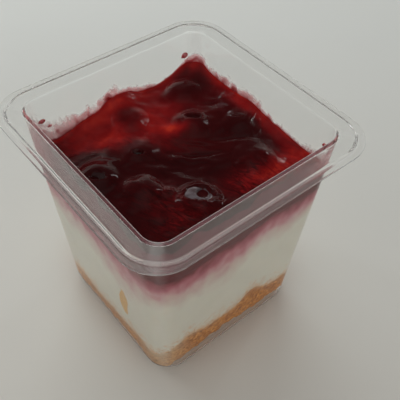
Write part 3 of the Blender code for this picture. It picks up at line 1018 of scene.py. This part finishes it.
def make_film(material):
    """Juice smeared up the walls above the compote, as one thin closed band."""
    pattern = quarter_pattern(100, 10)
    line = rounded_square(pattern, wall_half(GEL_LEVEL), wall_corner(GEL_LEVEL))
    level = gel_top(*(line * 0.995).T) - FILM_START
    far = np.clip(0.5 + (line[:, 0] + line[:, 1]) / RIM_HALF, 0, 1)
    climb = FILM_CLIMB + FILM_CLIMB_FAR * far
    strength = start = FILM_STRONG + FILM_STRONG_FAR * far
    for x, y, height, reach, amount in SMEARS:
        away = (line[:, 0] / RIM_HALF - x) ** 2 + (line[:, 1] / RIM_HALF - y) ** 2
        near = np.exp(-away / reach**2)
        climb = climb + near * height
        strength = strength + near * (amount - start)
    climb = climb * (1 + 0.4 * cloud(line[:, 0], line[:, 1], 0, 160, octaves=3, seed=4.2))
    climb = np.maximum(climb, FILM_LOWEST)
    loops, thick = [], []
    for outer in (True, False):
        shift = FILM_OUTER if outer else FILM_INNER
        for step in range(FILM_ROWS + 1):
            share = step / FILM_ROWS if outer else 1 - step / FILM_ROWS
            z = np.minimum(level + climb * share, CUP_HEIGHT - RIM_ROLL - 0.5 * MM)
            flat = rounded_square(pattern, wall_half(z) - shift, wall_corner(z) - shift)
            loops.append(np.column_stack([flat, z]))
            skirt = np.exp(-np.maximum(z - level - FILM_START, 0) / (0.45 * MM))
            veil = strength * (1 - share) ** (0.1 + 0.5 * far) * 0.75
            thick.append(np.maximum(skirt, veil) - 0.5 * far * share**4)
    count = len(line)
    faces = []
    for row in range(len(loops)):
        base, following = row * count, (row + 1) % len(loops) * count
        for i in range(count):
            j = (i + 1) % count
            faces.append((base + i, base + j, following + j, following + i))
    piece = new_object("juice_film", np.concatenate(loops), faces, material)
    set_attribute(piece, "mauve", np.tile(1 - far, len(loops)))
    set_attribute(piece, "thick", np.clip(np.concatenate(thick), 0, 1))
    return piece


def make_dabs(material):
    """Small flat dabs of compote left on the walls."""
    count, rows = 20, 9
    points, faces = [], []
    for x, y, z, wide, tall in DABS:
        out = Vector((x if abs(x) == 1 else 0, y if abs(y) == 1 else 0, 0))
        side = Vector((-out.y, out.x, 0))
        middle = out * wall_half(z) + side * side.dot(Vector((x, y, 0))) * RIM_HALF
        middle.z = z
        base = len(points)
        for row in range(rows + 1):
            fall = math.pi * (row + 0.5) / (rows + 1)
            for step in range(count):
                angle = 2 * math.pi * step / count
                around = Vector((math.cos(angle), math.sin(angle), z * 900))
                reach = math.sin(fall) * (1 + 0.3 * noise.noise(around * 1.3))
                spot = middle + side * wide * reach * math.cos(angle)
                spot = spot + Vector((0, 0, 1)) * tall * reach * math.sin(angle)
                points.append(spot - out * 0.40 * MM * math.cos(fall))
        faces.append([base + step for step in range(count)])
        faces.append([base + rows * count + step for step in reversed(range(count))])
        for row in range(rows):
            for step in range(count):
                here, there = base + row * count, base + (row + 1) * count
                j = (step + 1) % count
                faces.append((here + j, here + step, there + step, there + j))
    piece = new_object("juice_dabs", points, faces, material)
    set_attribute(piece, "thick", np.full(len(points), 0.78))
    return piece


def make_floor(material):
    side = 3.0
    z = -0.1 * MM
    points = [(-side, -side, z), (side, -side, z), (side, side, z), (-side, side, z)]
    return new_object("floor", points, [(0, 1, 2, 3)], material)


def make_lights():
    """Soft daylight from the far side, two narrow windows, and a room with a pale horizon."""
    for name, place, size, power, tint, shows in LAMPS:
        data = bpy.data.lights.new(name, "AREA")
        data.shape = "RECTANGLE"
        data.size, data.size_y = size
        data.energy = power
        data.color = tint
        lamp = bpy.data.objects.new(name, data)
        lamp.location = place
        aim = Vector((0, 0, 0.04)) - Vector(place)
        lamp.rotation_euler = aim.to_track_quat("-Z", "Y").to_euler()
        lamp.visible_glossy = lamp.visible_transmission = shows
        bpy.context.scene.collection.objects.link(lamp)
    world = bpy.data.worlds.new("room")
    world.use_nodes = True
    bpy.context.scene.world = world
    tree = Tree(world.node_tree)
    where = tree.add("ShaderNodeTexCoord").outputs["Generated"]
    height = tree.add("ShaderNodeSeparateXYZ", {0: where}).outputs["Z"]
    sky = tree.ramp(
        height,
        (
            (0.0, (0.72, 0.69, 0.65)),
            (0.22, (0.52, 0.505, 0.475)),
            (0.48, (0.11, 0.108, 0.104)),
            (0.84, (0.11, 0.108, 0.104)),
            (1.0, (0.34, 0.335, 0.32)),
        ),
    )
    light = tree.add("ShaderNodeBackground", {"Color": sky, "Strength": 1.0})
    tree.add("ShaderNodeOutputWorld", {"Surface": light.outputs[0]})


def make_camera():
    data = bpy.data.cameras.new("camera")
    data.sensor_width = SENSOR_MM
    data.lens = SENSOR_MM * FOCAL_PIXELS / PHOTO_SIDE
    data.clip_start = 0.01
    camera = bpy.data.objects.new("camera", data)
    turn = Matrix.Rotation(math.radians(CAMERA_TURN), 4, "Z")
    tilt = Matrix.Rotation(math.radians(CAMERA_TILT), 4, "X")
    roll = Matrix.Rotation(math.radians(CAMERA_ROLL), 4, "Z")
    camera.matrix_world = Matrix.Translation(CAMERA_PLACE) @ turn @ tilt @ roll
    bpy.context.scene.collection.objects.link(camera)
    bpy.context.scene.camera = camera


def dress(piece, slot, *nodes):
    """The piece rides on the part's one body and stands for its nodes. Its slot is not used."""
    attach(piece, "root")
    if nodes:
        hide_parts(*nodes)


make_camera()
make_lights()
make_floor(floor_finish())
crumb, fruit, film = crumb_finish(), fruit_finish(), film_finish()
dress(make_cup(clear_plastic()), "clear_plastic", "cup")
dress(make_crumb(crumb), "biscuit_crumb", "biscuit_base")
dress(make_loose_crumbs(crumb), "biscuit_crumb")
dress(make_streak(crumb), "biscuit_crumb", "biscuit_streak")
dress(make_cream(cream_finish()), "cream", "cream")
dress(make_compote(gel_finish()), "cherry_gel", "cherry_compote")
dress(make_film(film), "cherry_gel")
dress(make_dabs(film), "cherry_gel")
for number, centre, radius, turn, _ in FRUIT:
    dress(make_cherry(number, centre, radius, turn, fruit), "cherry", f"cherry_{number}")

scene = bpy.context.scene
scene.view_settings.view_transform = "Standard"
scene.cycles.use_denoising = True
scene.cycles.transparent_max_bounces = 24
scene.cycles.transmission_bounces = 16
